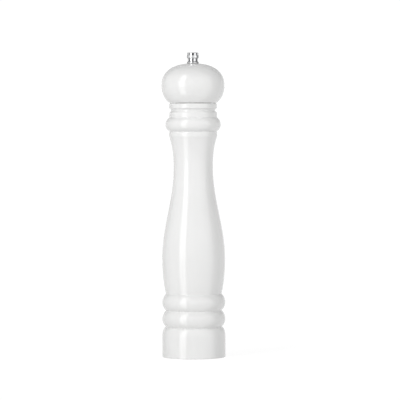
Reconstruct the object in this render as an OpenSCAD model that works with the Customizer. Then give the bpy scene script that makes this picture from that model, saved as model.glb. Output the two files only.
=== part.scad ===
// Turned pepper mill with a steel burr set.
// The head turns the square shaft and the male burr. The knob on top sets the grind.
// +Z is up, and the origin is the centre of the flat underside. Millimetres.

/* [Foot and lower rings] */
// Radius of the foot
foot_r = 31.25; // [31:0.05:32]
// Height of the foot's straight side
foot_side = 20.6; // [18:0.2:21]
// Radius of the two lower rings
ring_r = 31.15; // [31:0.05:31.5]
// Radius at the bottom of the grooves between the rings
groove_r = 27.6; // [27:0.1:28]
// Height of each lower ring
ring_h = 16.3; // [15.5:0.1:16.5]
// Height of the lowest groove
groove_z = 29.8; // [29:0.1:30]

/* [Bulge and neck] */
// Radius of the bulge
bulge_r = 31.05; // [30:0.05:31.2]
// Height of the bulge's widest point
bulge_z = 97; // [94:0.5:100]
// Radius of the neck
neck_r = 19.45; // [19:0.05:21]
// Height of the neck
neck_z = 187; // [183:0.5:190]
// Radius of the shoulder under the bead
shoulder_r = 23.8; // [23.5:0.05:24]

/* [Bead and upper rings] */
// Height of the groove under the bead
bead_z = 222.4; // [222:0.1:223]
// Radius at the bottom of that groove
bead_groove_r = 23.2; // [23:0.1:23.4]
// Height of the bead
bead_h = 13.7; // [13:0.1:14]
// Radius of the bead
bead_r = 27.35; // [26.5:0.05:28]
// Radius of the two upper rings
collar_r = 23.65; // [23.2:0.05:24]
// Radius of the cove between the upper rings
cove_r = 1.9; // [1.5:0.1:2]
// Height of the body's top face
body_top = 250.1; // [250:0.1:250.2]

/* [Head] */
// Gap between the body's top face and the head
seam = 0.2; // [0.1:0.05:0.3]
// Radius of the head
head_r = 31.15; // [30.5:0.05:31.5]
// Height of the head's widest point
head_z = 266.9; // [266:0.1:268]
// Height of the dome above the widest point
dome_h = 22.6; // [22.4:0.1:22.7]
// Squareness of the dome, where 2 is an ellipse
dome_n = 2.35; // [2.1:0.05:2.6]
// Radius of the head's lower flank
flank_r = 22; // [21:0.5:23]
// Radius of the tenon that turns in the body
tenon_r = 17; // [16.8:0.05:17.1]
// Length of the tenon
tenon_l = 11.3; // [11:0.1:11.5]

/* [Bores of the body] */
// Radius of the recess in the underside
recess_r = 25; // [24.9:0.1:25.5]
// Depth of the recess
recess_h = 8; // [8:0.1:8.2]
// Radius of the bore that holds the burr set
seat_r = 19.5; // [19.45:0.05:19.8]
// Height of the ledge above the burr set
seat_z = 21.2; // [21.2:0.1:21.6]
// Radius of the hopper
hopper_r = 14; // [13.8:0.1:14.4]
// Radius of the bore for the head's tenon
socket_r = 17.2; // [17.2:0.05:17.5]
// Height of the ledge below the tenon
socket_z = 238; // [237:0.2:238]

/* [Shaft] */
// Width across the square shaft
shaft_w = 6; // [5.8:0.05:6]
// Radius of the shaft's rounded corners
shaft_corner_r = 4.05; // [3.8:0.05:4.05]
// Radius of the thread and of the tail
shaft_end_r = 2.5; // [2.4:0.02:2.5]
// Height where the square part ends
shaft_square_top = 280; // [276:1:281]
// Height of the top of the thread
shaft_top = 296.3; // [295:0.1:296.4]
// Height of the end of the tail
shaft_bottom = 4.6; // [4.4:0.1:5]

/* [Burrs] */
// Largest radius of the male burr
rotor_r = 13; // [12.6:0.1:13]
// Height of the male burr's underside
rotor_z = 10.2; // [10.2:0.1:10.3]
// Number of fine teeth on the male burr
rotor_teeth = 24; // [18:6:30]
// Outer radius of the female burr
stator_r = 19.3; // [19:0.05:19.35]
// Gap between the burrs at the coarsest setting, square to the axis
burr_gap = 1.1; // [1.08:0.02:1.3]
// Number of fine teeth in the female burr
stator_teeth = 30; // [20:1:34]
// Number of coarse flutes in the female burr
stator_flutes = 10; // [6:1:12]

/* [Spring] */
// Radius of the spring, to the middle of the wire
spring_r = 5.6; // [5.3:0.1:6]
// Diameter of the spring wire
spring_wire = 1.2; // [1:0.1:1.2]
// Number of turns
spring_turns = 6.5; // [5:0.5:7]

/* [Knob] */
// Height of the top of the knob
knob_top = 300; // [300:0.1:301]
// Radius of the knob's bead
knob_r = 6; // [5.8:0.1:6.2]
// Radius of the knob's waist
knob_waist_r = 5.1; // [4.9:0.05:5.2]
// Number of flutes down the knob
knob_flutes = 8; // [6:1:12]

/* [Hidden] */
$fn = 96;
crisp = 32;

// Teeth lie along a cone that widens by 1 for every 2 of height
cone_slope = 0.5;
cone_angle = atan(cone_slope);
// The grinding band is the male burr's toothed cone
band_z = rotor_z + 0.6;
band_h = 4;
rotor_top = 21.4;
rotor_neck_r = 6.3;
rotor_flutes = 6;

// Height of the groove above the two lower rings
rings_top = groove_z + 2 * ring_h;

// Heights of the small parts on the shaft
washer_t = 0.8;
spring_foot = rotor_top + washer_t + 0.05;
strip_t = 1.2;
strip_top = 37.2;
strip_bottom = strip_top - strip_t;
flange_t = 1.55;
spring_head = strip_bottom - 0.05 - flange_t;
head_flat_r = 6.4;
head_under = body_top + seam;
head_top = head_z + dome_h * pow(1 - pow(head_flat_r / head_r, dome_n), 1 / dome_n);
plate_t = 1.5;
plate_top = head_under - tenon_l + 1.7;
collar_base = head_top + 0.05;
collar_h = 1.85;
knob_base = collar_base + collar_h + 0.05;
knob_crown_r = knob_r - 0.3;
knob_bead_z = knob_top - 4.2;
knob_bead_h = 3.7;

// Fasteners
bar_screw_x = 22.2;
plate_screw_r = 8.6;
rivet_x = 16;
rivet_r = 1.5;

// Points on an arc, from angle a0 to angle a1
function arc(x, z, r, a0, a1, n) =
    [for (i = [0:n]) let (a = a0 + (a1 - a0) * i / n) [x + r * cos(a), z + r * sin(a)]];

// Points on a round bead that stands from radius r0 out to r1 between two heights
function bead(r0, r1, z0, z1, n) =
    let (h = (z1 - z0) / 2, s = r1 - r0, r = (h * h + s * s) / (2 * s), a = asin(h / r))
    arc(r1 - r, (z0 + z1) / 2, r, -a, a, n);

// Points that leave radius r0 slowly and reach r1, with power p
function flare(r0, r1, z0, z1, p, n) =
    [for (i = [0:n]) [r0 + (r1 - r0) * pow(i / n, p), z0 + (z1 - z0) * i / n]];

// Points on half a cosine wave between two radii
function wave(r0, r1, z0, z1, n) =
    [for (i = [0:n]) [(r0 + r1) / 2 + (r0 - r1) / 2 * cos(180 * i / n), z0 + (z1 - z0) * i / n]];

// Points in reverse order
function reversed(p) = [for (i = [len(p) - 1:-1:0]) p[i]];

// The outside of the foot and the two lower rings
function foot_outline() = concat(
    [[0, 0]],
    arc(foot_r - 0.5, 0.5, 0.5, -90, 0, 3),
    [for (i = [0:8]) let (a = 90 * i / 8)
        [groove_r + (foot_r - groove_r) * cos(a), foot_side + (groove_z - foot_side) * sin(a)]],
    bead(groove_r, ring_r, groove_z, groove_z + ring_h, 12),
    bead(groove_r, ring_r, groove_z + ring_h, rings_top, 12),
    [[0, rings_top]]);

// The outside of the body above the rings, up to its top face
function body_outline() = concat(
    [[0, rings_top], [groove_r, rings_top]],
    reversed(flare(bulge_r, groove_r, bulge_z, rings_top + 0.1, 2.2, 8)),
    wave(bulge_r, neck_r, bulge_z, neck_z, 18),
    flare(neck_r, shoulder_r, neck_z, bead_z - 4.6, 2.5, 8),
    [[shoulder_r, bead_z - 1], [bead_groove_r, bead_z]],
    bead(collar_r - 0.1, bead_r, bead_z + 0.1, bead_z + bead_h, 12),
    [[collar_r, bead_z + bead_h + 0.4], [collar_r, body_top - 9]],
    arc(collar_r + 0.1, body_top - 7, cove_r, 265, 95, 8),
    arc(collar_r - 1.2, body_top - 1.2, 1.2, 0, 90, 4),
    [[0, body_top]]);

// The outside of the head, from the tenon's end up to the flat under the collar
function head_outline() =
    let (under = head_under - head_z, a_end = asin((under + 0.7) / flank_r))
    concat(
        [[0, head_under - tenon_l], [tenon_r - 0.6, head_under - tenon_l],
            [tenon_r, head_under - tenon_l + 0.6], [tenon_r, head_under],
            [head_r - flank_r + flank_r * cos(a_end) - 1.4, head_under]],
        arc(head_r - flank_r, head_z, flank_r, a_end, 0, 12),
        [for (i = [1:20]) let (a = 90 * (1 - pow(1 - i / 20, 1.4)), r = head_r * pow(cos(a), 2 / dome_n))
            if (r > head_flat_r + 0.5) [r, head_z + dome_h * pow(sin(a), 2 / dome_n)]],
        [[head_flat_r, head_top], [0, head_top]]);

// The outside of the knob's barrel, a waist below and a wider crown above
function barrel_outline() = concat(
    [[0, knob_base], [knob_waist_r - 0.3, knob_base], [knob_waist_r, knob_base + 0.3],
        [knob_waist_r, knob_bead_z], [knob_crown_r, knob_bead_z]],
    arc(knob_crown_r - 0.8, knob_top - 0.8, 0.8, 0, 90, 4),
    [[0, knob_top]]);

// A square rod along Z with its corners rounded off
module square_rod(w, corner_r, z0, z1)
    translate([0, 0, z0])
        linear_extrude(z1 - z0)
            intersection() {
                square(w, center = true);
                circle(corner_r);
            }

// A round hole along Z
module hole(r, z0, z1)
    translate([0, 0, z0])
        cylinder(r = r, h = z1 - z0);

// A square hole along Z
module square_hole(w, z0, z1)
    translate([-w / 2, -w / 2, z0])
        cube([w, w, z1 - z0]);

// A flat washer
module washer(r_out, r_in, z, t)
    translate([0, 0, z])
        difference() {
            cylinder(r = r_out, h = t);
            hole(r_in, -1, t + 1);
        }

// A screw that points up, with a round head below z and a pointed shank above it
module screw(x, z, shank_r, shank_l, head_r, head_h)
    translate([x, 0, z])
        rotate_extrude($fn = crisp)
            polygon([[0, -head_h], [head_r * 0.7, -head_h], [head_r * 0.94, -head_h * 0.6],
                [head_r, 0], [shank_r, 0], [shank_r, shank_l - 2], [0.2, shank_l], [0, shank_l]]);

// The hole that a screw's shank fills
module pilot(x, z, shank_r, shank_l)
    translate([x, 0, z])
        rotate_extrude($fn = crisp)
            polygon([[0, -1], [shank_r + 0.05, -1], [shank_r + 0.05, shank_l - 2], [0.25, shank_l],
                [0, shank_l + 0.1]]);

// Straight teeth cut along a cone, skewed to the axis
module cone_grooves(count, r, z, size, length, lean, skew)
    for (i = [0:count - 1])
        rotate([0, 0, 360 * i / count])
            translate([r, 0, z])
                rotate([skew, 0, 0])
                    rotate([0, -lean, 0])
                        rotate([0, 0, 45])
                            cube([size, size, length], center = true);

// Foot and lower rings of the turned wooden body
module foot()
    color("white")
        difference() {
            rotate_extrude() polygon(foot_outline());
            hole(recess_r, -1, recess_h);
            hole(seat_r, -1, seat_z);
            hole(hopper_r, -1, rings_top + 1);
            for (side = [-1, 1])
                pilot(side * bar_screw_x, recess_h, 1.4, 10);
        }

// Turned wooden body above the rings
module body()
    color("white")
        difference() {
            rotate_extrude() polygon(body_outline());
            hole(hopper_r, rings_top - 1, body_top + 1);
            hole(socket_r, socket_z, body_top + 1);
        }

// Turned wooden head with its tenon
module head()
    color("white")
        difference() {
            rotate_extrude() polygon(head_outline());
            hole(4.6, head_under - tenon_l - 1, 284);
            hole(12.2, head_under - tenon_l - 1, plate_top);
            hole(5.5, 283.2, head_top + 1);
            for (i = [0:2])
                rotate([0, 0, 120 * i])
                    pilot(plate_screw_r, plate_top, 1.25, 7.5);
        }

// Chrome adjusting knob: a fluted barrel with a smooth bead around it
module knob()
    color("silver")
        difference() {
            union() {
                difference() {
                    rotate_extrude() polygon(barrel_outline());
                    for (i = [0:knob_flutes - 1])
                        rotate([0, 0, 360 * i / knob_flutes])
                            translate([knob_waist_r + 0.7, 0, 0])
                                hole(1.2, knob_base - 1, knob_top + 1, $fn = crisp);
                }
                rotate_extrude()
                    let (low = knob_bead_z - knob_bead_h / 2, high = knob_bead_z + knob_bead_h / 2)
                        polygon(concat([[0, low]], bead(knob_waist_r + 0.1, knob_r, low, high, 6),
                            [[0, high]]));
            }
            hole(3.42, knob_base - 1, knob_top - 1.4);
        }

// Flared chrome collar under the knob
module knob_washer()
    color("silver")
        translate([0, 0, collar_base])
            difference() {
                rotate_extrude()
                    polygon([[0, 0], [5.8, 0], [6, 0.25], [6, 0.6], [5.7, 1.1], [5.5, collar_h - 0.3],
                        [5.2, collar_h], [0, collar_h]]);
                hole(2.6, -1, collar_h + 1);
            }

// Brass insert with the knob's thread
module knob_insert()
    color("goldenrod")
        washer(3.4, 2.6, knob_base + 0.2, knob_top - 1.6 - knob_base - 0.2);

// Brass bush in the top of the head
module head_bush()
    color("goldenrod")
        washer(5.45, 3.3, 283.2, head_top - 283.2);

// Steel disc that takes the turn of the head to the shaft
module drive_plate()
    color("lightsteelblue")
        difference() {
            translate([0, 0, plate_top - plate_t]) cylinder(r = 12, h = plate_t);
            square_hole(shaft_w + 0.2, plate_top - plate_t - 1, plate_top + 1);
            for (i = [0:2])
                rotate([0, 0, 120 * i])
                    translate([plate_screw_r, 0, 0])
                        hole(1.5, plate_top - plate_t - 1, plate_top + 1);
        }

// Screws that hold the drive plate
module drive_plate_screws()
    color("gainsboro")
        for (i = [0:2])
            rotate([0, 0, 120 * i])
                screw(plate_screw_r, plate_top - plate_t, 1.25, 8.5, 2.3, 1.1);

// Square shaft with a thread at the top and a grooved tail
module shaft()
    color("lightsteelblue") {
        square_rod(shaft_w, shaft_corner_r, rotor_z, shaft_square_top);
        rotate_extrude()
            polygon([[0, shaft_square_top - 1], [shaft_end_r, shaft_square_top - 1],
                [shaft_end_r, shaft_top - 0.6], [shaft_end_r - 0.6, shaft_top], [0, shaft_top]]);
        rotate_extrude()
            polygon([[0, shaft_bottom], [shaft_end_r - 0.5, shaft_bottom],
                [shaft_end_r, shaft_bottom + 0.5], [shaft_end_r, rotor_z - 1.6],
                [2.05, rotor_z - 1.6], [2.05, rotor_z - washer_t], [shaft_end_r, rotor_z - washer_t],
                [shaft_end_r, rotor_z + 1], [0, rotor_z + 1]]);
    }

// Bush with a square bore, centred in the stirrup
module guide_bush()
    color("ivory")
        difference() {
            union() {
                translate([0, 0, spring_head]) cylinder(r = 7.5, h = flange_t);
                translate([0, 0, spring_head]) cylinder(r = 5, h = strip_top + 1 - spring_head);
            }
            square_hole(shaft_w + 0.15, spring_head - 1, strip_top + 3);
        }

// Height along the spring after a share t of its turns, with a flat turn at each end
function spring_rise(t) =
    let (n = t * spring_turns, flat = spring_wire * 1.04,
        open = spring_head - spring_foot - spring_wire - 2 * flat)
    n < 1 ? n * flat
        : n > spring_turns - 1 ? flat + open + (n - spring_turns + 1) * flat
        : flat + open * (n - 1) / (spring_turns - 2);

// Compression spring around the shaft
module spring()
    color("silver") {
        rings = 24 * spring_turns;
        sides = 8;
        points = [for (i = [0:rings], j = [0:sides - 1])
            let (a = 360 * spring_turns * i / rings, b = 360 * j / sides,
                r = spring_r + spring_wire / 2 * cos(b))
            [r * cos(a), r * sin(a),
                spring_foot + spring_wire / 2 * (1 + sin(b)) + spring_rise(i / rings)]];
        skin = [for (i = [0:rings - 1], j = [0:sides - 1])
            let (k = (j + 1) % sides)
            [i * sides + j, i * sides + k, (i + 1) * sides + k, (i + 1) * sides + j]];
        polyhedron(points, concat(skin, [[for (j = [sides - 1:-1:0]) j]],
            [[for (j = [0:sides - 1]) rings * sides + j]]));
    }

// Washer between the spring and the male burr
module spring_washer()
    color("silver")
        washer(7, 4.15, rotor_top, washer_t);

// Male burr: a toothed cone below and coarse flutes above
module rotor()
    color("dimgray")
        difference() {
            rotate_extrude()
                polygon(concat(
                    [[0, rotor_z], [rotor_r - 0.4, rotor_z], [rotor_r, band_z],
                        [rotor_r - band_h * cone_slope, band_z + band_h]],
                    [for (i = [1:6]) let (t = i / 6)
                        [rotor_neck_r + (rotor_r - band_h * cone_slope - rotor_neck_r) * pow(1 - t, 1.8),
                            band_z + band_h + (rotor_top - 0.6 - band_z - band_h) * t]],
                    [[rotor_neck_r, rotor_top], [0, rotor_top]]));
            cone_grooves(rotor_teeth, rotor_r - 1.05, band_z + 1.6, 0.95, 7.4, cone_angle, 12);
            rotate([0, 0, 3])
                cone_grooves(rotor_flutes, rotor_neck_r + 2.7, band_z + band_h + 2.4, 1.9, 9, 36, 16);
            square_hole(shaft_w + 0.1, rotor_z - 1, rotor_top + 1);
        }

// Washer under the male burr
module rotor_washer()
    color("silver")
        washer(5, shaft_end_r + 0.05, rotor_z - washer_t, washer_t);

// Clip in the groove of the shaft's tail: an open ring with three inner lugs
module retaining_clip()
    color("gray")
        translate([0, 0, rotor_z - 2 * washer_t])
            linear_extrude(washer_t)
                difference() {
                    circle(4.3);
                    difference() {
                        circle(3.3);
                        for (a = [0, 120, 240])
                            rotate(a)
                                translate([2, -0.8])
                                    square([1.6, 1.6]);
                    }
                    circle(2.1);
                    rotate(180)
                        translate([0, -1.5])
                            square([6, 3]);
                }

// One half of the stirrup's strip: top, leg and foot
function stirrup_half() = concat(
    [[0, strip_top]],
    arc(11, strip_bottom - strip_t + 0.4, 2, 90, 0, 4),
    arc(13.4, seat_z + 0.4, 0.4, 180, 270, 3),
    [[18.6, seat_z], [18.6, seat_z - strip_t]],
    arc(13.4, seat_z + 0.4, 1.6, 270, 180, 4),
    arc(11, strip_bottom - strip_t + 0.4, 0.8, 0, 90, 3),
    [[0, strip_bottom]]);

// Bent strip over the burrs, with an eye for the guide bush
module stirrup()
    color("lightsteelblue")
        difference() {
            union() {
                for (side = [0, 1])
                    mirror([side, 0, 0])
                        rotate([90, 0, 0])
                            translate([0, 0, -4])
                                linear_extrude(8)
                                    polygon(stirrup_half());
                translate([0, 0, strip_bottom]) cylinder(r = 8, h = strip_t);
            }
            hole(5.05, strip_bottom - 1, strip_top + 1);
            for (side = [-1, 1])
                translate([side * rivet_x, 0, 0]) {
                    hole(rivet_r + 0.02, seat_z - 2, seat_z + 0.5, $fn = crisp);
                    translate([0, 0, seat_z - 0.7])
                        cylinder(r1 = rivet_r + 0.02, r2 = rivet_r + 0.92, h = 0.9, $fn = crisp);
                }
        }

// Flush rivets through the stirrup's feet
module stirrup_rivets()
    color("silver")
        for (side = [-1, 1])
            translate([side * rivet_x, 0, 0])
                rotate_extrude($fn = crisp)
                    polygon([[0, seat_z - 6], [rivet_r, seat_z - 6], [rivet_r, seat_z - 0.7],
                        [rivet_r + 0.7, seat_z], [0, seat_z]]);

// Female burr: a ring with inner teeth, seats for the stirrup and notches for the crossbar
module stator()
    color("dimgray")
        difference() {
            rotate_extrude()
                polygon([[rotor_r + burr_gap + 1.7, recess_h - 0.6], [stator_r - 0.4, recess_h - 0.6],
                    [stator_r, recess_h - 0.2], [stator_r, seat_z], [rotor_r + burr_gap - 1.8, seat_z],
                    [rotor_r + burr_gap - 2.2, seat_z - 1.2],
                    [rotor_r + burr_gap - band_h * cone_slope, band_z + band_h],
                    [rotor_r + burr_gap, band_z]]);
            cone_grooves(stator_teeth, rotor_r + burr_gap - 0.85, band_z + 1.6, 0.95, 8.6, cone_angle, -12);
            cone_grooves(stator_flutes, rotor_r + burr_gap - 1.9, band_z + band_h + 3.4, 1.8, 9, 2, -14);
            for (side = [0, 1])
                mirror([side, 0, 0]) {
                    translate([10, -4.05, seat_z - strip_t]) cube([10, 8.1, 3]);
                    translate([rivet_x, 0, 0])
                        hole(rivet_r + 0.02, seat_z - 6, seat_z + 1, $fn = crisp);
                    translate([10, -5.1, 0]) cube([12, 10.2, recess_h]);
                }
        }

// Strip across the underside that holds the burr set up
module crossbar()
    color("lightsteelblue")
        difference() {
            intersection() {
                translate([-30, -5, recess_h - strip_t]) cube([60, 10, strip_t]);
                hole(24.6, 0, 20);
            }
            hole(shaft_end_r + 0.1, 0, 20);
            for (side = [-1, 1])
                translate([side * bar_screw_x, 0, 0])
                    hole(1.6, 0, 20, $fn = crisp);
        }

// Screws that hold the crossbar
module crossbar_screws()
    color("gainsboro")
        for (side = [-1, 1])
            screw(side * bar_screw_x, recess_h - strip_t, 1.4, 11.2, 2.4, 1.5);

body();
foot();
head();
knob();
knob_washer();
knob_insert();
head_bush();
drive_plate();
drive_plate_screws();
shaft();
guide_bush();
spring();
spring_washer();
rotor();
rotor_washer();
retaining_clip();
stirrup();
stirrup_rivets();
stator();
crossbar();
crossbar_screws();
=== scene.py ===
"""Pepper mill: white gloss lacquer over turned beech, a chrome knob and a steel burr set."""

import math

import bpy
import numpy as np
from mathutils import Matrix


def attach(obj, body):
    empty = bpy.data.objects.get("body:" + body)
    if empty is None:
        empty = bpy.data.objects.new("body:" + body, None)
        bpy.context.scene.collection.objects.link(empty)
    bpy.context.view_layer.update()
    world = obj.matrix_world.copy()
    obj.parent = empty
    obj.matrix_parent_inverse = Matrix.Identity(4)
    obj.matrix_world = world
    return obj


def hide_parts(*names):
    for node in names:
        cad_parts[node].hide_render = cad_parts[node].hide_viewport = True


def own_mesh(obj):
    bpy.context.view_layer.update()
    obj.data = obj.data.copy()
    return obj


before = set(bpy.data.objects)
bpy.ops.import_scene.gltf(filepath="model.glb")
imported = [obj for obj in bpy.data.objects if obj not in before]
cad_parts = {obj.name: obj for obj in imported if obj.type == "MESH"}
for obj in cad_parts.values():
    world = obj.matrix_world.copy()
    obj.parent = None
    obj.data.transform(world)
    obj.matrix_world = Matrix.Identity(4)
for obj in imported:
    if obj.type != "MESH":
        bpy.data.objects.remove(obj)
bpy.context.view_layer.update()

MM = 0.001
TAU = 2 * math.pi


# ---------------------------------------------------------------- sizes, in millimetres
# A name ends in R for a radius, in Z for a height above the table, and in H, L or T for a length.

# The foot, and the two rings above it
FOOT_R, FOOT_SIDE = 31.25, 20.6
RING_R, GROOVE_R, RING_H, GROOVE_Z = 31.15, 27.6, 16.3, 29.8
# The bulge, the neck and the shoulder
BULGE_R, BULGE_Z, NECK_R, NECK_Z, SHOULDER_R = 31.05, 97.0, 19.45, 187.0, 23.8
# The bead, and the two small rings with a cove between them
BEAD_Z, BEAD_GROOVE_R, BEAD_H, BEAD_R = 222.4, 23.2, 13.7, 27.35
UPPER_RING_R, COVE_R = 23.65, 1.9
BODY_TOP = 250.1

# The bores of the body, from below
RECESS_R, RECESS_H, SEAT_R, SEAT_Z = 25.0, 8.0, 19.5, 21.2
HOPPER_R, SOCKET_R, SOCKET_Z = 14.0, 17.2, 238.0

# The head: DOME_N is the squareness of its dome, where 2 is an ellipse
SEAM = 0.2
HEAD_R, HEAD_Z, DOME_H, DOME_N, FLANK_R, FLAT_R = 31.15, 266.9, 22.6, 2.35, 22.0, 6.4
HEAD_UNDER = BODY_TOP + SEAM
HEAD_TOP = HEAD_Z + DOME_H * (1 - (FLAT_R / HEAD_R) ** DOME_N) ** (1 / DOME_N)
TENON_R, TENON_L, TENON_BORE_R = 17.0, 11.3, 12.2
HEAD_BORE_R, BUSH_SEAT_R, BUSH_Z = 4.6, 5.5, 283.2
BUSH_R, BUSH_BORE_R = 5.45, 3.3
PLATE_TOP, PLATE_T, PLATE_SCREW_AT = HEAD_UNDER - TENON_L + 1.7, 1.5, 8.6

# The shaft: a square bar with a thread above it and a round tail below. A thread fades in and out
# over THREAD_LEAD.
SHAFT_W, SHAFT_CORNER, SHAFT_END_R = 6.0, 4.05, 2.5
SHAFT_SQUARE_TOP, SHAFT_TOP, SHAFT_BOTTOM = 280.0, 296.3, 4.6
PITCH, THREAD_LEAD, THREAD_CORE_R, CLIP_GROOVE_R = 0.8, 0.8, 2.02, 2.05

# The male burr, its washers and the spring
ROTOR_R, ROTOR_Z, ROTOR_TOP, ROTOR_NECK_R, ROTOR_WALL_R = 13.0, 10.2, 21.4, 6.3, 5.2
ROTOR_TEETH, ROTOR_FLUTES = 24, 6
WASHER_T = 0.8
UPPER_WASHER_R, UPPER_WASHER_BORE_R = 7.0, 4.15
LOWER_WASHER_R, LOWER_WASHER_BORE_R = 5.0, 2.55
SPRING_R, SPRING_WIRE, SPRING_TURNS = 5.6, 1.2, 6.5
SPRING_FOOT, SPRING_HEAD = ROTOR_TOP + 0.85, 34.4

# The crossbar on the underside
BAR_T, BAR_SCREW_AT = 1.2, 22.2

# The collar and the knob
COLLAR_BASE, COLLAR_H = HEAD_TOP + 0.05, 1.85
COLLAR_R, COLLAR_BORE_R = 6.0, 2.6
KNOB_BASE = COLLAR_BASE + COLLAR_H + 0.05
KNOB_TOP, KNOB_R, KNOB_WAIST_R, KNOB_FLUTES = 300.0, 6.0, 5.1, 8
KNOB_CROWN_R, KNOB_BORE_R = KNOB_R - 0.3, 3.42
KNOB_BEAD_Z, KNOB_HALF_BEAD, KNOB_GROOVE_R = KNOB_TOP - 4.2, 1.85, 1.2
INSERT_R, INSERT_BORE_R = 3.4, 2.9


# ---------------------------------------------------------------- outlines
# An outline is a list of (radius, height) points in millimetres.


def arc(x, z, r, a0, a1, n):
    """Points on an arc, from a0 to a1 in degrees."""
    angles = np.radians(np.linspace(a0, a1, n + 1))
    return [(x + r * math.cos(a), z + r * math.sin(a)) for a in angles]


def bead(r0, r1, z0, z1):
    """A round bead that stands from radius r0 out to r1 between two heights."""
    h, s = (z1 - z0) / 2, r1 - r0
    r = (h * h + s * s) / (2 * s)
    a = math.degrees(math.asin(h / r))
    return arc(r1 - r, (z0 + z1) / 2, r, -a, a, 24)


def flare(r0, r1, z0, z1, power):
    """A curve that leaves r0 upright and reaches r1."""
    t = np.linspace(0, 1, 25)
    return list(zip(r0 + (r1 - r0) * t**power, z0 + (z1 - z0) * t))


def wave(r0, r1, z0, z1):
    """Half a cosine wave between two radii."""
    t = np.linspace(0, 1, 41)
    mid, swing = (r0 + r1) / 2, (r0 - r1) / 2
    return list(zip(mid + swing * np.cos(math.pi * t), z0 + (z1 - z0) * t))


def soften(points, spread, step=0.12, tol=0.006):
    """The closed outline with its corners rounded, as lacquer or a light deburring leaves them.

    Returns the points that are needed within tol, and how far along the outline each of them lies,
    from 0 to 1.
    """
    p = np.array(points, float)
    p = np.vstack([p, p[:1]])
    p = p[np.r_[True, np.linalg.norm(np.diff(p, axis=0), axis=1) > 1e-6]]
    run = np.r_[0, np.cumsum(np.linalg.norm(np.diff(p, axis=0), axis=1))]
    at = np.linspace(0, run[-1], int(run[-1] / step) + 1)[:-1]
    q = np.c_[np.interp(at, run, p[:, 0]), np.interp(at, run, p[:, 1])]
    half = int(3 * spread / step) + 1
    kernel = np.exp(-0.5 * (np.arange(-half, half + 1) * step / spread) ** 2)
    kernel /= kernel.sum()
    padded = np.vstack([q[-half:], q, q[:half]])
    smooth = np.array([np.convolve(padded[:, axis], kernel, "valid") for axis in (0, 1)]).T
    chosen = needed(smooth, tol)
    return smooth[chosen], np.array(chosen) / (len(smooth) - 1)


def needed(points, tol):
    """The indices of the points that keep a polyline within tol."""
    last = len(points) - 1
    chosen = {0, last}
    spans = [(0, last)]
    while spans:
        a, b = spans.pop()
        if b - a < 2:
            continue
        chord = points[b] - points[a]
        away = points[a + 1 : b] - points[a]
        off = np.abs(away[:, 0] * chord[1] - away[:, 1] * chord[0]) / np.linalg.norm(chord)
        worst = int(off.argmax())
        if off[worst] > tol:
            middle = a + 1 + worst
            chosen.add(middle)
            spans += [(a, middle), (middle, b)]
    return sorted(chosen)


def shares(outline):
    """How far round the closed outline each side ends, from 0 to 1."""
    points = np.array(outline)
    lengths = np.linalg.norm(np.diff(np.vstack([points, points[:1]]), axis=0), axis=1)
    return np.cumsum(lengths) / lengths.sum()


# ---------------------------------------------------------------- meshes


def all_round(columns):
    """Evenly spaced angles."""
    return np.linspace(0, TAU, columns, endpoint=False)


def turned(rows, angles):
    """A grid of points about the axis, from rows of (radius, height).

    A radius is one number, or one for each angle.
    """
    across, flute_shade = np.cos(angles), np.sin(angles)
    return np.stack([np.c_[r * across, r * flute_shade, np.full(len(angles), z)] for r, z in rows])


def grid_object(name, grid, loop, body, row_slots=None, materials=(), sharp=38):
    """A mesh object from a grid in millimetres, whose columns go round.

    A row that lies at one point becomes a pole. With loop, the last row is joined to the first.
    """
    rows, columns = grid.shape[:2]
    index = np.zeros((rows, columns), int)
    points = []
    for i in range(rows):
        if np.ptp(grid[i], axis=0).max() < 1e-6:
            index[i] = len(points)
            points.append(grid[i, 0])
        else:
            index[i] = np.arange(columns) + len(points)
            points.extend(grid[i])
    faces, slots = [], []
    for i in range(rows if loop else rows - 1):
        k = (i + 1) % rows
        low, high = index[i], index[k]
        for j in range(columns):
            m = (j + 1) % columns
            ring = [int(low[j]), int(low[m]), int(high[m]), int(high[j])]
            ring = [v for n, v in enumerate(ring) if v != ring[n - 1]]
            if len(ring) > 2:
                faces.append(ring)
                slots.append(row_slots[i] if row_slots else 0)
    return mesh_object(name, np.array(points), faces, body, slots, materials, sharp)


def mesh_object(name, points, faces, body, slots=None, materials=(), sharp=38):
    """A mesh object from points in millimetres. Edges steeper than sharp degrees stay crisp."""
    mesh = bpy.data.meshes.new(name)
    mesh.from_pydata([tuple(v) for v in np.asarray(points) * MM], [], faces)
    for m in materials:
        mesh.materials.append(m)
    if slots is not None:
        mesh.polygons.foreach_set("material_index", slots)
    mesh.validate()
    mesh.shade_smooth()
    mesh.set_sharp_from_angle(angle=math.radians(sharp))
    mesh.update()
    obj = bpy.data.objects.new(name, mesh)
    bpy.context.scene.collection.objects.link(obj)
    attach(obj, body)
    return obj


def square_radius(half, corner, angles):
    """The radius of a square bar with rounded-off corners, at each angle."""
    reach = half / np.maximum(np.abs(np.cos(angles)), np.abs(np.sin(angles)))
    return np.minimum(reach, corner)


def thread_tooth(pitch, z, angles):
    """The profile of a right-hand thread at height z: 0 at the root and 1 at the crest."""
    return np.clip(1.25 - 2.5 * np.abs((z / pitch - angles / TAU) % 1 - 0.5), 0, 1)


def thread_radius(core, crest, pitch, z, angles, z0, z1):
    """The radius of an outer thread at height z, fading out towards the heights z0 and z1."""
    fade = np.clip(min(z - z0, z1 - z) / THREAD_LEAD, 0, 1)
    return core + (crest - core) * (1 - fade * (1 - thread_tooth(pitch, z, angles)))


# ---------------------------------------------------------------- materials


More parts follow.
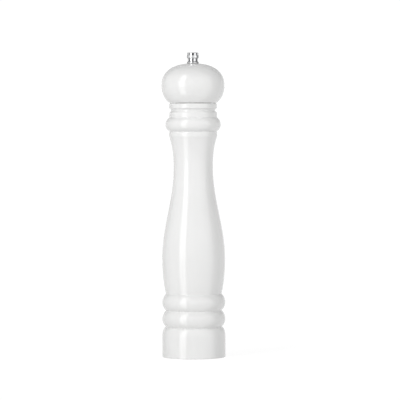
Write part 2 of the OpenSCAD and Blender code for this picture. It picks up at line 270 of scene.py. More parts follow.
class Shader:
    """A node material that is built up step by step. Its coordinates are in metres."""

    def __init__(self, name, colour, rough, metal=0.0, **sockets):
        self.mat = bpy.data.materials.new(name)
        self.mat.use_nodes = True
        self.tree = self.mat.node_tree
        self.bsdf = self.tree.nodes["Principled BSDF"]
        self.bsdf.inputs["Base Color"].default_value = (*colour, 1)
        self.bsdf.inputs["Roughness"].default_value = rough
        self.bsdf.inputs["Metallic"].default_value = metal
        for key, value in sockets.items():
            self.bsdf.inputs[key.replace("_", " ")].default_value = value
        self.place = self.add("ShaderNodeTexCoord").outputs["Object"]
        self.relief = None

    def add(self, kind, inputs=None, **settings):
        """A new node, with each of its inputs linked or set."""
        node = self.tree.nodes.new(kind)
        for key, value in settings.items():
            setattr(node, key, value)
        for key, value in (inputs or {}).items():
            if isinstance(value, bpy.types.NodeSocket):
                self.tree.links.new(value, node.inputs[key])
            else:
                node.inputs[key].default_value = value
        return node

    def stretched(self, x, y, z):
        """The object's coordinates, scaled along each axis."""
        inputs = {"Vector": self.place, "Scale": (x, y, z)}
        return self.add("ShaderNodeMapping", inputs).outputs["Vector"]

    def noise(self, scale, detail, rough=0.5, place=None, warp=0.0):
        inputs = {"Vector": place or self.place, "Scale": scale, "Detail": detail}
        inputs |= {"Roughness": rough, "Distortion": warp}
        return self.add("ShaderNodeTexNoise", inputs).outputs["Fac"]

    def ramp(self, value, *stops):
        """A colour ramp. Each stop is (position, grey or colour)."""
        node = self.add("ShaderNodeValToRGB", {"Fac": value})
        marks = node.color_ramp.elements
        while len(marks) < len(stops):
            marks.new(0.5)
        for mark, (at, tone) in zip(marks, stops):
            mark.position = at
            mark.color = (tone, tone, tone, 1) if isinstance(tone, (int, float)) else (*tone, 1)
        return node.outputs["Color"]

    def spread(self, value, low, high, start=0.0, end=1.0):
        """A value remapped from start..end to low..high."""
        inputs = {"Value": value, "From Min": start, "From Max": end, "To Min": low, "To Max": high}
        return self.add("ShaderNodeMapRange", inputs).outputs["Result"]

    def maths(self, kind, a, b):
        return self.add("ShaderNodeMath", {0: a, 1: b}, operation=kind).outputs["Value"]

    def mix(self, share, a, b):
        """Colour a where share is 0, and colour b where it is 1."""
        a, b = (c if isinstance(c, bpy.types.NodeSocket) else (*c, 1) for c in (a, b))
        # 6 and 7 are the node's colour inputs A and B, and 2 is its colour output
        return self.add("ShaderNodeMix", {0: share, 6: a, 7: b}, data_type="RGBA").outputs[2]

    def colour(self, value):
        self.tree.links.new(value, self.bsdf.inputs["Base Color"])

    def rough(self, value):
        self.tree.links.new(value, self.bsdf.inputs["Roughness"])

    def bump(self, value, depth):
        """Adds relief, where depth is in millimetres. Layers stack."""
        inputs = {"Height": value, "Distance": depth * MM, "Strength": 1.0}
        if self.relief:
            inputs["Normal"] = self.relief
        self.relief = self.add("ShaderNodeBump", inputs).outputs["Normal"]
        self.tree.links.new(self.relief, self.bsdf.inputs["Normal"])

    def radius(self, place):
        """How far a place is from the origin."""
        return self.add("ShaderNodeVectorMath", {0: place}, operation="LENGTH").outputs["Value"]


def make_lacquer(name):
    """White gloss lacquer: thick and level, with a faint peel and a trace of the grain under it."""
    coat = {"Coat_Weight": 1.0, "Coat_Roughness": 0.02, "Coat_IOR": 1.5}
    s = Shader(name, (0.8, 0.8, 0.795), 0.16, Specular_IOR_Level=0.1, **coat)
    cloud = s.noise(28, 2)
    s.colour(s.ramp(cloud, (0.3, (0.785, 0.785, 0.779)), (0.7, (0.81, 0.81, 0.806))))
    s.rough(s.spread(s.noise(160, 4), 0.12, 0.22, 0.35, 0.65))
    grain = s.noise(1, 4, 0.55, s.stretched(420, 420, 16), 0.2)
    s.bump(grain, 0.004)
    s.bump(s.noise(650, 2), 0.0015)
    return s.mat


def make_beech(name):
    """Bare turned beech, as in the bores and on the tenon."""
    s = Shader(name, (0.7, 0.5, 0.3), 0.6)
    grain = s.noise(1, 5, 0.6, s.stretched(240, 240, 9), 0.6)
    fleck = s.noise(1, 2, 0.5, s.stretched(1500, 1500, 160))
    late, middle, early = (0.55, 0.36, 0.19), (0.68, 0.48, 0.28), (0.77, 0.58, 0.37)
    tone = s.ramp(grain, (0.3, late), (0.5, middle), (0.72, early))
    dark = s.ramp(fleck, (0.62, 0.0), (0.7, 0.75))
    s.colour(s.mix(dark, tone, (0.4, 0.24, 0.12)))
    s.rough(s.spread(grain, 0.52, 0.7))
    s.bump(grain, 0.05)
    s.bump(fleck, 0.02)
    return s.mat


def make_chrome(name, land=None, top=None):
    """Bright chrome plate with faint handling marks.

    With land and top, in millimetres, it is dull and dark below the radius land, as deep in the
    flutes, except on the face at height top. The dark is painted shade, where the flutes and the
    foot of the barrel would be shaded.
    """
    s = Shader(name, (0.73, 0.74, 0.75), 0.05, 1.0)
    smear = s.noise(240, 4)
    gloss = s.spread(smear, 0.03, 0.1, 0.35, 0.7)
    tone = s.ramp(smear, (0.3, (0.7, 0.71, 0.72)), (0.7, (0.76, 0.765, 0.77)))
    if land:
        height = s.add("ShaderNodeSeparateXYZ", {0: s.place}).outputs["Z"]
        across = s.radius(s.stretched(1, 1, 0))
        inner = s.spread(across, 1.0, 0.0, (land - 0.22) * MM, (land - 0.02) * MM)
        under = s.spread(height, 1.0, 0.0, (top - 0.3) * MM, (top - 0.15) * MM)
        # painted shade: a near-black colour and a duller gloss in the flutes and at the foot of the
        # barrel, where their shade falls
        flute_shade = s.maths("MULTIPLY", inner, under)
        tone = s.mix(flute_shade, tone, (0.085, 0.086, 0.089))
        gloss = s.maths("ADD", gloss, s.maths("MULTIPLY", flute_shade, 0.2))
    s.rough(gloss)
    s.colour(tone)
    s.bump(s.noise(1, 3, 0.6, s.stretched(3200, 3200, 500)), 0.001)
    return s.mat


def make_steel(name, tone, low, high, stretch, depth=0.004, tint=None):
    """Rolled, turned or plated steel, between two roughnesses.

    Its lines run along the axis with the lowest stretch. The tint clouds it, or a darker tone.
    """
    s = Shader(name, tone, (low + high) / 2, 1.0)
    lines = s.noise(1, 5, 0.6, s.stretched(*stretch))
    cloud = s.noise(130, 3)
    dark = tuple(0.82 * c for c in tone)
    s.colour(s.mix(s.spread(cloud, 0.0, 1.0, 0.4, 0.75), tone, tint or dark))
    s.rough(s.spread(lines, low, high, 0.3, 0.7))
    s.bump(lines, depth)
    return s.mat


def make_burr(name):
    """Hardened burr steel: dark, with machining lines and a light oil sheen."""
    s = Shader(name, (0.23, 0.23, 0.24), 0.38, 1.0)
    cloud = s.noise(420, 4)
    s.colour(s.ramp(cloud, (0.3, (0.16, 0.16, 0.17)), (0.7, (0.31, 0.31, 0.32))))
    s.rough(s.spread(s.noise(900, 3), 0.28, 0.5))
    s.bump(s.noise(2600, 3), 0.006)
    return s.mat


def make_brass(name):
    """Turned brass, a little tarnished, with fine rings round the axis."""
    s = Shader(name, (0.72, 0.52, 0.22), 0.25, 1.0)
    cloud = s.noise(300, 4)
    s.colour(s.ramp(cloud, (0.3, (0.55, 0.38, 0.16)), (0.65, (0.78, 0.58, 0.26))))
    s.rough(s.spread(cloud, 0.34, 0.18))
    s.bump(s.noise(1, 3, 0.6, s.stretched(300, 300, 5200)), 0.003)
    return s.mat


def make_nylon(name):
    """Natural nylon, off-white and satin."""
    s = Shader(name, (0.75, 0.74, 0.69), 0.42)
    cloud = s.noise(500, 3)
    s.colour(s.ramp(cloud, (0.3, (0.71, 0.7, 0.64)), (0.7, (0.79, 0.78, 0.73))))
    s.rough(s.spread(cloud, 0.36, 0.5))
    s.bump(s.noise(3000, 2), 0.004)
    return s.mat


def make_floor(name):
    """A seamless pale table top that glows, as an overlit sweep does.

    It glows less close to the mill: a painted shadow, where the mill would shade the sweep. The
    camera sees it all alike.
    """
    s = Shader(name, (0.25, 0.25, 0.25), 0.9, Specular_IOR_Level=0.0)
    s.colour(s.ramp(s.noise(3, 2), (0.3, 0.24), (0.7, 0.26)))
    s.bsdf.inputs["Emission Color"].default_value = (1, 1, 1, 1)
    seen = s.add("ShaderNodeLightPath").outputs["Is Camera Ray"]
    # painted shadow: the glow is weaker close to the mill, in place of the mill's shade on the
    # sweep
    glow = s.spread(s.radius(s.place), low=0.5, high=0.67, start=0.03, end=0.35)
    glow = s.maths("ADD", glow, s.maths("MULTIPLY", seen, s.maths("SUBTRACT", FLOOR_SEEN, glow)))
    s.tree.links.new(glow, s.bsdf.inputs["Emission Strength"])
    return s.mat


lacquer = make_lacquer("white_lacquer")
beech = make_beech("bare_beech")
chrome = make_chrome("chrome_plate")
knob_chrome = make_chrome("fluted_chrome", KNOB_WAIST_R, KNOB_TOP)
strip_steel = make_steel("strip_steel", (0.6, 0.61, 0.62), 0.24, 0.4, (60, 2400, 2400))
plate_steel = make_steel("plate_steel", (0.58, 0.59, 0.6), 0.26, 0.42, (120, 2200, 2200))
bar_steel = make_steel("bar_steel", (0.57, 0.58, 0.59), 0.24, 0.4, (2200, 2200, 60))
washer_steel = make_steel("washer_steel", (0.64, 0.65, 0.66), 0.22, 0.36, (900, 900, 900))
zinc = make_steel(
    "zinc_plate", (0.66, 0.67, 0.67), 0.2, 0.36, (1200, 1200, 1200), 0.003, tint=(0.58, 0.56, 0.49)
)
wire_steel = make_steel("wire_steel", (0.46, 0.47, 0.48), 0.22, 0.36, (1800, 1800, 400))
clip_steel = make_steel("clip_steel", (0.09, 0.09, 0.1), 0.32, 0.5, (1500, 1500, 1500))
burr = make_burr("burr_steel")
brass = make_brass("brass")
nylon = make_nylon("nylon")


# ---------------------------------------------------------------- body and head


def outer_body():
    """The outside of the body, from the foot's edge up to the inner end of the top face."""
    ring_top = GROOVE_Z + 2 * RING_H
    swing, climb = FOOT_R - GROOVE_R, GROOVE_Z - FOOT_SIDE
    bends = np.radians(np.linspace(0, 90, 17))
    return (
        arc(FOOT_R - 0.5, 0.5, 0.5, -90, 0, 6)
        + [(GROOVE_R + swing * math.cos(a), FOOT_SIDE + climb * math.sin(a)) for a in bends]
        + bead(GROOVE_R, RING_R, GROOVE_Z, GROOVE_Z + RING_H)
        + bead(GROOVE_R, RING_R, GROOVE_Z + RING_H, ring_top)
        + flare(BULGE_R, GROOVE_R, BULGE_Z, ring_top + 0.1, 2.2)[::-1]
        + wave(BULGE_R, NECK_R, BULGE_Z, NECK_Z)
        + flare(NECK_R, SHOULDER_R, NECK_Z, BEAD_Z - 4.6, 2.5)
        + [(SHOULDER_R, BEAD_Z - 1), (BEAD_GROOVE_R, BEAD_Z)]
        + bead(UPPER_RING_R - 0.1, BEAD_R, BEAD_Z + 0.1, BEAD_Z + BEAD_H)
        + [(UPPER_RING_R, BEAD_Z + BEAD_H + 0.4), (UPPER_RING_R, BODY_TOP - 9)]
        + arc(UPPER_RING_R + 0.1, BODY_TOP - 7, COVE_R, 265, 95, 16)
        + arc(UPPER_RING_R - 1.2, BODY_TOP - 1.2, 1.2, 0, 90, 6)
    )


def body_piece():
    """The turned body with its bores: lacquered outside, bare wood inside."""
    outside = outer_body()
    inside = [
        (SOCKET_R + 0.5, BODY_TOP),
        (SOCKET_R, BODY_TOP - 0.5),
        (SOCKET_R, SOCKET_Z),
        (HOPPER_R + 0.4, SOCKET_Z),
        (HOPPER_R, SOCKET_Z - 0.4),
        (HOPPER_R, SEAT_Z),
        (SEAT_R, SEAT_Z),
        (SEAT_R, RECESS_H),
        (RECESS_R, RECESS_H),
        (RECESS_R, 0.6),
        (RECESS_R + 0.6, 0),
    ]
    lacquer_end = shares(outside + inside)[len(outside) - 1]
    # the last of the outline is the foot's rim, which is lacquered again
    rim_start = 0.9975
    outline, along = soften(outside + inside, 0.28)
    slots = [0 if t < lacquer_end or t > rim_start else 1 for t in along]
    grid = turned(outline, all_round(160))
    piece = grid_object("turned_body", grid, True, "mill_body", slots, (lacquer, beech))
    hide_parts("body", "foot")


def head_piece():
    """The turned head: lacquered outside, bare wood on the tenon and in the bores."""
    base = HEAD_UNDER - TENON_L
    tenon = [
        (TENON_BORE_R, base),
        (TENON_R - 0.6, base),
        (TENON_R, base + 0.6),
        (TENON_R, HEAD_UNDER),
    ]
    # the flank is an arc that stops above the seam, where a short face leads in to the tenon
    flank_at = HEAD_R - FLANK_R
    flank_end = math.degrees(math.asin((HEAD_UNDER + 0.7 - HEAD_Z) / FLANK_R))
    flank = arc(flank_at, HEAD_Z, FLANK_R, flank_end, 0, 24)
    dome = []
    for i in range(1, 49):
        a = math.radians(90 * (1 - (1 - i / 48) ** 1.4))
        r = HEAD_R * max(0.0, math.cos(a)) ** (2 / DOME_N)
        if r > FLAT_R + 0.5:
            dome.append((r, HEAD_Z + DOME_H * math.sin(a) ** (2 / DOME_N)))
    outside = (
        [(flank[0][0] - 1.4, HEAD_UNDER)]
        + flank
        + dome
        + [(FLAT_R, HEAD_TOP), (BUSH_SEAT_R + 0.4, HEAD_TOP)]
    )
    inside = [
        (BUSH_SEAT_R, HEAD_TOP - 0.4),
        (BUSH_SEAT_R, BUSH_Z),
        (HEAD_BORE_R, BUSH_Z),
        (HEAD_BORE_R, PLATE_TOP),
        (TENON_BORE_R, PLATE_TOP),
    ]
    share = shares(tenon + outside + inside)
    start, end = share[len(tenon) - 2], share[len(tenon) + len(outside) - 2]
    outline, along = soften(tenon + outside + inside, 0.25)
    slots = [0 if start < t < end else 1 for t in along]
    grid = turned(outline, all_round(160))
    piece = grid_object("turned_head", grid, True, "head", slots, (lacquer, beech))
    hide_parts("head")


# ---------------------------------------------------------------- knob and collar


def knob_piece():
    """The knob: a fluted barrel, wider above than below, with a smooth bead around it."""
    waist, crown = KNOB_WAIST_R, KNOB_CROWN_R
    round_r, dish = 0.8, 0.12
    seat_r = KNOB_BORE_R + 0.2
    barrel = [(KNOB_BORE_R, KNOB_BASE + 0.2), (seat_r, KNOB_BASE), (waist - 0.3, KNOB_BASE)]
    barrel += [(waist, z) for z in np.linspace(KNOB_BASE + 0.3, KNOB_BEAD_Z - 0.05, 44)]
    barrel += [(crown, z) for z in np.linspace(KNOB_BEAD_Z + 0.05, KNOB_TOP - round_r - 0.02, 44)]
    barrel += arc(crown - round_r, KNOB_TOP - round_r, round_r, 0, 90, 12)
    barrel += [(crown - 1.5, KNOB_TOP), (crown - 1.65, KNOB_TOP - dish), (0, KNOB_TOP - dish)]
    r, z = np.array(barrel).T
    r, z = r[:, None], z[:, None]
    angles = all_round(KNOB_FLUTES * 24)
    # each flute is a round groove down the barrel, and blends into the land beside it
    turn = TAU / KNOB_FLUTES
    off = (angles + turn / 2) % turn - turn / 2
    groove_at = waist - 0.5 + KNOB_GROOVE_R
    chord = KNOB_GROOVE_R**2 - (groove_at * np.sin(off)) ** 2
    near_side = groove_at * np.cos(off) - np.sqrt(np.maximum(chord, 0))
    flute = np.where(chord > 0, near_side, KNOB_R)
    blend = np.clip(0.5 + (flute - r) / 0.24, 0, 1)
    radius = flute * (1 - blend) + r * blend - 0.12 * blend * (1 - blend)
    from_bead = np.abs(z - KNOB_BEAD_Z) / KNOB_HALF_BEAD
    bulge = KNOB_R - (KNOB_R - waist - 0.1) * from_bead**3
    radius = np.where(from_bead < 1, np.maximum(radius, bulge), radius)
    # the flutes stop short of the bore and of the middle of the top
    radius = np.where(r < seat_r + 0.08, r, radius)
    grid = turned(zip(radius, z[:, 0]), angles)
    piece = grid_object("adjusting_knob", grid, False, "knob", None, (knob_chrome,), 50)
    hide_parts("knob")


def collar_piece():
    """The flared collar between the head and the knob."""
    edge = 0.3
    top = COLLAR_BASE + COLLAR_H
    outline = [
        (COLLAR_BORE_R + edge, COLLAR_BASE),
        (COLLAR_R - 0.25, COLLAR_BASE),
        (COLLAR_R, COLLAR_BASE + 0.25),
        (COLLAR_R, COLLAR_BASE + 0.6),
        (COLLAR_R - 0.3, COLLAR_BASE + 1.1),
        (COLLAR_R - 0.5, top - edge),
        (COLLAR_R - 0.8, top),
        (COLLAR_BORE_R + edge, top),
        (COLLAR_BORE_R, top - edge),
        (COLLAR_BORE_R, COLLAR_BASE + edge),
    ]
    outline, _ = soften(outline, 0.08, step=0.03, tol=0.002)
    grid = turned(outline, all_round(128))
    piece = grid_object("knob_collar", grid, True, "knob_collar", None, (chrome,), 50)
    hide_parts("knob_washer")


def insert_piece():
    """The knob's insert: a tube with a real inner thread."""
    base, top = KNOB_BASE + 0.2, KNOB_TOP - 1.6
    edge, depth = 0.15, 0.3
    angles = all_round(64)
    rows = [(INSERT_BORE_R, base), (INSERT_R - edge, base), (INSERT_R, base + edge)]
    rows += [(INSERT_R, top - edge), (INSERT_R - edge, top), (INSERT_BORE_R, top)]
    for z in np.linspace(top - 0.2, base + 0.2, int((top - base) / PITCH * 8)):
        rows.append((INSERT_BORE_R + 0.02 - depth * thread_tooth(PITCH, z, angles), z))
    grid = turned(rows, angles)
    piece = grid_object("threaded_insert", grid, True, "knob", None, (brass,))
    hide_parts("knob_insert")


def tube_piece(name, node, body, material, r_out, r_in, z0, z1, edge=0.25):
    """A turned tube or washer with broken edges."""
    outline = [
        (r_in + edge, z0),
        (r_out - edge, z0),
        (r_out, z0 + edge),
        (r_out, z1 - edge),
        (r_out - edge, z1),
        (r_in + edge, z1),
        (r_in, z1 - edge),
        (r_in, z0 + edge),
    ]
    outline, _ = soften(outline, 0.05, step=0.03, tol=0.002)
    piece = grid_object(name, turned(outline, all_round(96)), True, body, None, (material,))
    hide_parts(node)


# ---------------------------------------------------------------- shaft, burrs and spring


def shaft_piece():
    """The shaft: a round tail with the clip's groove, a square bar, and a thread at the top."""
    angles = all_round(96)
    square = square_radius(SHAFT_W / 2, SHAFT_CORNER, angles)
    chamfered = square_radius(SHAFT_W / 2 - 0.3, SHAFT_CORNER - 0.4, angles)
    end, edge = SHAFT_END_R, 0.35
    groove_top = ROTOR_Z - WASHER_T
    groove_base = groove_top - 0.8
    rows = [
        (0, SHAFT_BOTTOM),
        (end - 0.5, SHAFT_BOTTOM),
        (end, SHAFT_BOTTOM + 0.5),
        (end, groove_base),
        (CLIP_GROOVE_R, groove_base),
        (CLIP_GROOVE_R, groove_top),
        (end, groove_top),
        (end, ROTOR_Z),
        (chamfered, ROTOR_Z),
        (square, ROTOR_Z + edge),
    ]
    rows += [(square, z) for z in np.linspace(ROTOR_Z + 6, SHAFT_SQUARE_TOP - 6, 20)]
    rows += [(square, SHAFT_SQUARE_TOP - edge), (chamfered, SHAFT_SQUARE_TOP)]
    rows += [(end * 0.84, SHAFT_SQUARE_TOP)]
    z0, z1 = SHAFT_SQUARE_TOP + 0.3, SHAFT_TOP
    for z in np.arange(z0, z1 - 0.7, PITCH / 8):
        rows.append((thread_radius(THREAD_CORE_R, end, PITCH, z, angles, z0 - 0.7, z1 + 1), z))
    rows += [(end - 0.6, SHAFT_TOP - 0.05), (end - 0.75, SHAFT_TOP), (0, SHAFT_TOP)]
    grid = turned(rows, angles)
    piece = grid_object("square_shaft", grid, False, "spindle", None, (bar_steel,), 30)
    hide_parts("shaft")


def rotor_piece():
    """Male burr: slanted fine teeth on the cone, coarse feeding flutes above them."""
    angles = all_round(360)
    band, edge = ROTOR_Z + 0.6, ROTOR_TOP - 0.6
    band_top = band + 4
    shoulder = ROTOR_R - 2
    outside = [(ROTOR_R - 4, ROTOR_Z), (ROTOR_R - 1.2, ROTOR_Z), (ROTOR_R - 0.4, ROTOR_Z)]
    outside += [(ROTOR_R - 0.4 + 0.4 * s, ROTOR_Z + 0.6 * s) for s in (0.5, 1.0)]
    outside += [(ROTOR_R - 2 * s, band + 4 * s) for s in np.linspace(0, 1, 13)[1:]]
    for s in np.linspace(0, 1, 22)[1:]:
        r = ROTOR_NECK_R + (shoulder - ROTOR_NECK_R) * (1 - s) ** 1.8
        outside.append((r, band_top + (edge - band_top) * s))
    outside += [(ROTOR_NECK_R, ROTOR_TOP - 0.25), (ROTOR_NECK_R - 0.25, ROTOR_TOP)]
    outside += [(ROTOR_WALL_R, ROTOR_TOP)]
    rows = []
    for r, z in outside:
        rise = z - ROTOR_Z
        fine = ((ROTOR_TEETH * angles / TAU + 0.11 * rise) % 1) ** 0.8
        coarse = (0.5 - 0.5 * np.cos(ROTOR_FLUTES * angles + 0.36 * rise)) ** 0.8
        # both kinds of teeth fade out where the other begins, and at the ends
        fine_depth = 0.95 * np.clip((band_top + 0.5 - z) / 0.9, 0, 1)
        fine_depth *= np.clip((r - 10.5) / 1.2, 0, 1)
        coarse_depth = 2.3 * np.clip((z - band_top + 1.6) / 2.4, 0, 1)
        coarse_depth *= np.clip((ROTOR_TOP - 0.2 - z) / 1.5, 0, 1)
        coarse_cut = np.minimum(coarse_depth * coarse, r - ROTOR_WALL_R)
        rows.append((r - np.maximum(fine_depth * fine, coarse_cut), z))
    # the bore is a plain square, so its corner radius is out of reach
    bore = square_radius(SHAFT_W / 2 + 0.05, ROTOR_R, angles)
    rows += [(bore, ROTOR_TOP), (bore, ROTOR_Z)]
    grid = turned(rows, angles)
    piece = grid_object("male_burr", grid, True, "spindle", None, (burr,), 32)
    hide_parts("rotor")


def spring_piece():
    """The spring, with a closed turn at each end. It shortens as the shaft lifts."""
    wire, turns = SPRING_WIRE, SPRING_TURNS
    foot, head = SPRING_FOOT, SPRING_HEAD
    flat = wire * 1.04
    open_h = head - foot - wire - 2 * flat
    rings, sides = int(36 * turns), 12
    b = all_round(sides)
    reach = SPRING_R + wire / 2 * np.cos(b)
    lift = foot + wire / 2 * (1 + np.sin(b))
    points = []
    for i in range(rings + 1):
        n = turns * i / rings
        if n < 1:
            rise = n * flat
        elif n > turns - 1:
            rise = flat + open_h + (n - turns + 1) * flat
        else:
            rise = flat + open_h * (n - 1) / (turns - 2)
        angle = TAU * n
        points += list(np.c_[reach * math.cos(angle), reach * math.sin(angle), lift + rise])
    faces = []
    for i in range(0, rings * sides, sides):
        for j in range(sides):
            k = (j + 1) % sides
            faces.append([i + j, i + k, i + sides + k, i + sides + j])
    faces += [list(range(sides))[::-1], [rings * sides + j for j in range(sides)]]
    piece = mesh_object("burr_spring", points, faces, "guide", None, (wire_steel,), 50)
    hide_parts("spring")
    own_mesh(piece)


# ---------------------------------------------------------------- screws


def recess_cutters(arm, width, depth, top):
    """Two crossed wedges, which cut a tapered crosshead recess into a head from height top."""
    corners = ((-1, -1), (1, -1), (1, 1), (-1, 1))
    wedge = [(x * arm, y * width, top - 0.4) for x, y in corners]
    wedge += [(x * arm * 0.35, y * width * 0.7, top + depth) for x, y in corners]
    crossed = [(-y, x, z) for x, y, z in wedge]
    faces = [[3, 2, 1, 0], [4, 5, 6, 7], [0, 1, 5, 4], [1, 2, 6, 5], [2, 3, 7, 6], [3, 0, 4, 7]]
    return [(wedge, faces), (crossed, faces)]


def screw_mesh(shank_r, shank_l, head_r, head_h):
    """An upright screw, head down at height 0, with a crosshead recess and a wood thread.

    Its sizes are the radius and length of the shank, and the radius and height of the head.
    """
    columns, pitch = 48, 1.1
    angles = all_round(columns)
    bends = np.radians(np.linspace(0, 90, 10))
    rows = [(head_r * math.sin(t), -head_h * (0.25 + 0.75 * math.cos(t))) for t in bends]
    rows += [(head_r, -0.05), (head_r - 0.05, 0), (shank_r, 0)]
    for z in np.arange(0.3, shank_l - 0.1, 0.14):
        taper = min(1.0, (shank_l - z) / 2.2)
        thread = thread_radius(shank_r * 0.72, shank_r, pitch, z, angles, 0.6, shank_l + 1)
        rows.append((taper * thread, z))
    rows.append((0, shank_l))
    grid = turned(rows, angles)
    blank = grid_object("screw_blank", grid, False, "mill_body", None, (zinc,), 40)
    tools = []
    cutters = recess_cutters(head_r * 0.58, head_r * 0.13, head_h * 0.75, -head_h)
    for n, (points, faces) in enumerate(cutters):
        tools.append(mesh_object(f"screw_tool_{n}", points, faces, "mill_body"))
        cut = blank.modifiers.new("recess", "BOOLEAN")
        cut.object, cut.operation, cut.solver = tools[-1], "DIFFERENCE", "EXACT"
    bpy.context.view_layer.update()
    cut_blank = blank.evaluated_get(bpy.context.evaluated_depsgraph_get())
    made = bpy.data.meshes.new_from_object(cut_blank)
    for o in [blank] + tools:
        bpy.data.objects.remove(o)
    return made


def screw_group(name, node, body, places, turns, sizes):
    """Copies of one screw, joined into one piece, with a turn in radians for each.

    Each place is (x, y, z) in millimetres, and sizes are the arguments of screw_mesh.
    """
    made = screw_mesh(*sizes)
    screw = np.array([v.co for v in made.vertices]) / MM
    points, faces = [], []
    for n, ((x, y, z), turn) in enumerate(zip(places, turns)):
        c, s = math.cos(turn), math.sin(turn)
        across, flute_shade = screw[:, 0] * c - screw[:, 1] * s, screw[:, 0] * s + screw[:, 1] * c
        points.append(np.c_[across + x, flute_shade + y, screw[:, 2] + z])
        faces += [[v + n * len(screw) for v in p.vertices] for p in made.polygons]
    piece = mesh_object(name, np.vstack(points), faces, body, None, (zinc,), 35)
    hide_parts(node)


# ---------------------------------------------------------------- build

body_piece()
head_piece()
knob_piece()
collar_piece()
insert_piece()
tube_piece(
    "thread_bush", "head_bush", "head", brass,
    BUSH_R, BUSH_BORE_R, BUSH_Z, HEAD_TOP,
)
tube_piece(
    "upper_washer", "spring_washer", "spindle", washer_steel,
    UPPER_WASHER_R, UPPER_WASHER_BORE_R, ROTOR_TOP, ROTOR_TOP + WASHER_T, 0.12,
)
tube_piece(
    "lower_washer", "rotor_washer", "spindle", washer_steel,
    LOWER_WASHER_R, LOWER_WASHER_BORE_R, ROTOR_Z - WASHER_T, ROTOR_Z, 0.12,
)
shaft_piece()
rotor_piece()
spring_piece()

screw_group(
    "bar_screws",
    "crossbar_screws",
    "mill_body",
    [(side * BAR_SCREW_AT, 0, RECESS_H - BAR_T) for side in (-1, 1)],
    turns=(0.5, 1.2),
    sizes=(1.4, 11.2, 2.4, 1.5),
)
thirds = [TAU * i / 3 for i in range(3)]
screw_group(
    "plate_screws",
    "drive_plate_screws",
    "head",
    [
        (PLATE_SCREW_AT * math.cos(a), PLATE_SCREW_AT * math.sin(a), PLATE_TOP - PLATE_T)
        for a in thirds
    ],
    turns=(0.3, 1.0, 2.2),
    sizes=(1.25, 8.5, 2.3, 1.1),
)

# These nodes keep their CAD meshes
for node, material in {
    "stator": burr,
    "stirrup": strip_steel,
    "stirrup_rivets": zinc,
    "crossbar": strip_steel,
    "drive_plate": plate_steel,
    "retaining_clip": clip_steel,
    "guide_bush": nylon,
}.items():
    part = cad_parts[node]
    part.data.materials.clear()
    part.data.materials.append(material)


# ---------------------------------------------------------------- studio

# What the camera sees of the floor and of the backdrop. Both come out white.
FLOOR_SEEN, BACKDROP_SEEN = 0.86, 1.05
# The floor's half width and height in metres, just clear of the foot
FLOOR_REACH, FLOOR_Z = 9.0, -0.0002

floor_mesh = bpy.data.meshes.new("floor")
corners = [(-1, -1), (1, -1), (1, 1), (-1, 1)]
corners = [(x * FLOOR_REACH, y * FLOOR_REACH, FLOOR_Z) for x, y in corners]
floor_mesh.from_pydata(corners, [], [(0, 1, 2, 3)])
floor_mesh.materials.append(make_floor("pale_floor"))
floor = bpy.data.objects.new("floor", floor_mesh)
bpy.context.scene.collection.objects.link(floor)
floor.visible_glossy = False


def studio_world():
    """A soft studio of LIGHTS. The camera itself sees a plain white backdrop."""
    world = bpy.data.worlds.new("studio")
    world.use_nodes = True
    tree = world.node_tree
    tree.nodes.clear()
    link = tree.links.new

    def node(kind, **settings):
        made = tree.nodes.new(kind)
        for key, value in settings.items():
            setattr(made, key, value)
        return made

    def maths(kind, a, b):
        made = node("ShaderNodeMath", operation=kind)
        for n, value in enumerate((a, b)):
            if isinstance(value, bpy.types.NodeSocket):
                link(value, made.inputs[n])
            else:
                made.inputs[n].default_value = value
        return made.outputs[0]

    def curve(value, stops):
        """A piecewise linear value. Each stop is (position, value)."""
        ramp = node("ShaderNodeValToRGB")
        link(value, ramp.inputs[0])
        marks = ramp.color_ramp.elements
        while len(marks) < len(stops):
            marks.new(0.5)
        peak = max(tone for _, tone in stops)
        for mark, (at, tone) in zip(marks, stops):
            mark.position = at
            mark.color = (tone / peak, tone / peak, tone / peak, 1)
        return maths("MULTIPLY", ramp.outputs[0], peak)

    split = node("ShaderNodeSeparateXYZ")
    link(node("ShaderNodeTexCoord").outputs["Generated"], split.inputs[0])
    x, y, z = split.outputs
    # turn is 0.5 towards the front and 0.75 to the right, and both 0 and 1 behind
    turn = maths("ADD", maths("DIVIDE", maths("ARCTAN2", x, maths("MULTIPLY", y, -1.0)), TAU), 0.5)
    height = maths("ADD", maths("MULTIPLY", z, 0.5), 0.5)

    def round_(stops):
        return curve(turn, [((angle + 180) / 360, tone) for angle, tone in stops])

    def upward(stops):
        return curve(height, [(math.sin(math.radians(a)) / 2 + 0.5, tone) for a, tone in stops])

    light = 0.0
    for across, rise in LIGHTS:
        light = maths("ADD", light, maths("MULTIPLY", round_(across), upward(rise)))
    seen = node("ShaderNodeLightPath").outputs["Is Camera Ray"]
    unseen = maths("SUBTRACT", 1.0, seen)
    light = maths("ADD", maths("MULTIPLY", light, unseen), maths("MULTIPLY", seen, BACKDROP_SEEN))
    back = node("ShaderNodeBackground")
    back.inputs["Color"].default_value = (1, 1, 1, 1)
    link(light, back.inputs["Strength"])
    out = node("ShaderNodeOutputWorld")
    link(back.outputs[0], out.inputs[0])
    bpy.context.scene.world = world


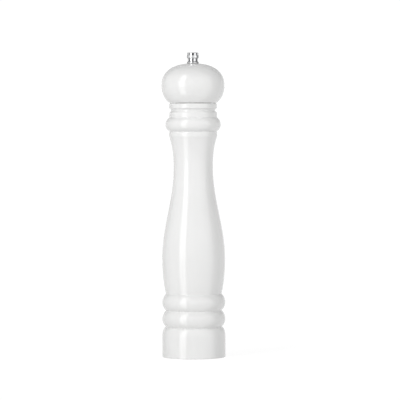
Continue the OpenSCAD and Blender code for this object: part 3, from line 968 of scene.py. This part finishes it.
# Each light is its brightness round the mill, in degrees from the front towards the right, times
# its brightness in degrees above the horizon. FRONT is the wide soft front with a panel to the
# right, BACK lights the edges from behind, and STRIP is the tall bright strip to the front left.
FRONT = [
    (-180, 0), (-135, 0), (-105, 0.57), (-90, 0.75), (-62, 0.73), (-50, 0.7), (-22, 0.66),
    (-5, 0.76), (15, 0.79), (25, 1.03), (35, 1.16), (65, 1.24), (75, 0.75), (84, 0.2),
    (105, 0.26), (120, 0), (180, 0),
]
FRONT_RISE = [(-90, 1.0), (-10, 1.0), (5, 1.18), (30, 1.28), (45, 0.95), (60, 0.5), (90, 0.3)]
BACK = [
    (-180, 1.0), (-165, 0.9), (-150, 0.72), (-135, 0.5), (-105, 0), (105, 0),
    (120, 0.66), (135, 0.72), (150, 0.8), (165, 0.9), (180, 1.0),
]
BACK_RISE = [(-90, 1.0), (6, 1.0), (16, 0.6), (60, 0.45), (90, 0.3)]
STRIP = [(-180, 0), (-55, 0), (-51, 3.0), (-31, 2.9), (-27, 0), (180, 0)]
STRIP_RISE = [
    (-90, 0.0), (-50, 0.0), (-40, 0.6), (-8, 0.7), (2, 1.0), (52, 1.0), (62, 0.0), (90, 0.0),
]
LIGHTS = [(FRONT, FRONT_RISE), (BACK, BACK_RISE), (STRIP, STRIP_RISE)]

studio_world()

# The camera's place in metres, and its angles in degrees: its width of view, how far it looks down,
# and its roll
CAMERA_AT = (0.0065, -2.62, 0.228)
CAMERA_VIEW, CAMERA_DOWN, CAMERA_ROLL = 8.6, 1.6, -0.22

camera_data = bpy.data.cameras.new("camera")
camera_data.sensor_width = 36
camera_data.lens = camera_data.sensor_width / 2 / math.tan(math.radians(CAMERA_VIEW / 2))
camera = bpy.data.objects.new("camera", camera_data)
bpy.context.scene.collection.objects.link(camera)
camera.matrix_world = (
    Matrix.Translation(CAMERA_AT)
    @ Matrix.Rotation(math.radians(90 - CAMERA_DOWN), 4, "X")
    @ Matrix.Rotation(math.radians(CAMERA_ROLL), 4, "Z")
)
bpy.context.scene.camera = camera
bpy.context.scene.view_settings.view_transform = "Standard"
